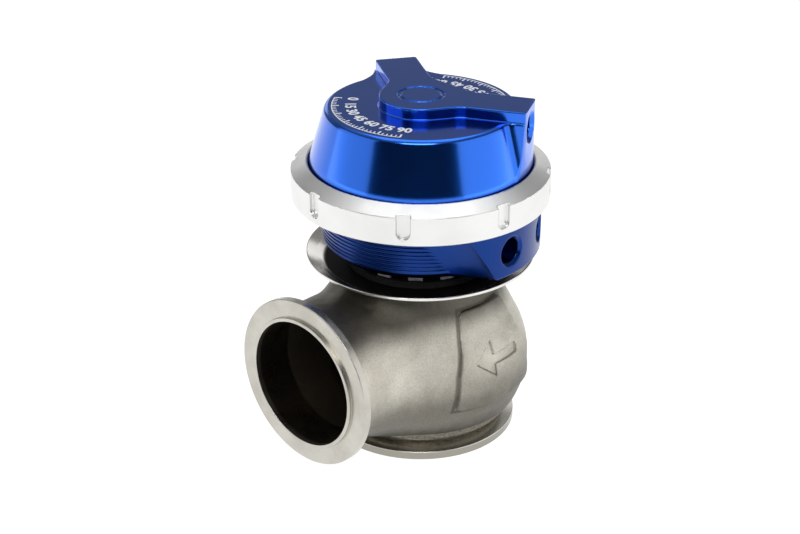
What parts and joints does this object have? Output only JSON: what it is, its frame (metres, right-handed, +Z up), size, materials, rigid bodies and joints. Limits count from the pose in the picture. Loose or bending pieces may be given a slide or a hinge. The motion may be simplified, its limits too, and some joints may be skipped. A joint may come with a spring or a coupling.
{
  "type": "turbo wastegate",
  "caption": "External diaphragm wastegate: poppet valve in a cast body with two V-band flanges, spring-loaded actuator with clockable cap and screwed locking collar.",
  "frame": {"origin": "centre of the inlet flange's face, on the valve axis", "axes": "+Z up along the valve stem, -Y along the outlet pipe"},
  "size_m": [0.089, 0.1032, 0.1228],
  "materials": {
    "cast_steel": "as-cast stainless, fine grain",
    "machined_steel": "turned stainless, fine tool lines",
    "seat_steel": "ground",
    "bronze": "turned",
    "valve_steel": "ground",
    "shield_steel": "pressed sheet, polished rim",
    "insulator": "matt fibre",
    "bare_aluminium": "machined",
    "screw_steel": "plated",
    "blue_base": "blue anodised, turned",
    "seal_ptfe": "smooth",
    "spring_steel": "shot-peened",
    "diaphragm_rubber": "fabric-reinforced silicone",
    "blue_cap": "blue anodised, satin machined",
    "collar_aluminium": "fine satin, clear anodised"
  },
  "bodies": {
    "root": {"valve_housing": "cast_steel", "inlet_ring": "machined_steel", "outlet_ring": "machined_steel", "valve_seat": "seat_steel", "valve_guide": "bronze", "heat_shield": "shield_steel", "insulator_washer": "insulator", "standoff_ring": "bare_aluminium", "base_screws": "screw_steel", "actuator_base": "blue_base", "stem_bush": "bronze", "stem_seal": "seal_ptfe", "seal_circlip": "spring_steel", "diaphragm": "diaphragm_rubber"},
    "valve_train": {"valve": "valve_steel", "lower_plate": "bare_aluminium", "piston_cup": "bare_aluminium", "stem_washer": "screw_steel", "stem_nut": "screw_steel"},
    "slip_ring": {"slip_ring": "seal_ptfe"},
    "collar": {"locking_collar": "collar_aluminium"},
    "cap": {"top_cap": "blue_cap", "outer_spring": "spring_steel", "middle_spring": "spring_steel", "inner_spring": "spring_steel"}
  },
  "joints": [
    {"name": "valve_lift", "type": "slide", "parent": "root", "child": "valve_train", "axis": [0, 0, 1], "range_m": [0, 0.0105], "stiffness_N_per_m": 9000, "springref_m": -0.012, "deforming": ["diaphragm", "outer_spring", "middle_spring", "inner_spring"]},
    {"name": "collar_rise", "type": "slide", "parent": "root", "child": "slip_ring", "axis": [0, 0, 1], "range_m": [0, 0.0045]},
    {"name": "collar_turn", "type": "hinge", "parent": "slip_ring", "child": "collar", "pos_m": [0, 0, 0.0934], "axis": [0, 0, 1], "range_deg": [0, 1080]},
    {"name": "cap_clocking", "type": "hinge", "parent": "slip_ring", "child": "cap", "pos_m": [0, 0, 0.0956], "axis": [0, 0, 1], "continuous": true}
  ],
  "couplings": [
    {"joint": "collar_rise", "follows": "collar_turn", "m_per_rad": 0.00023873}
  ]
}
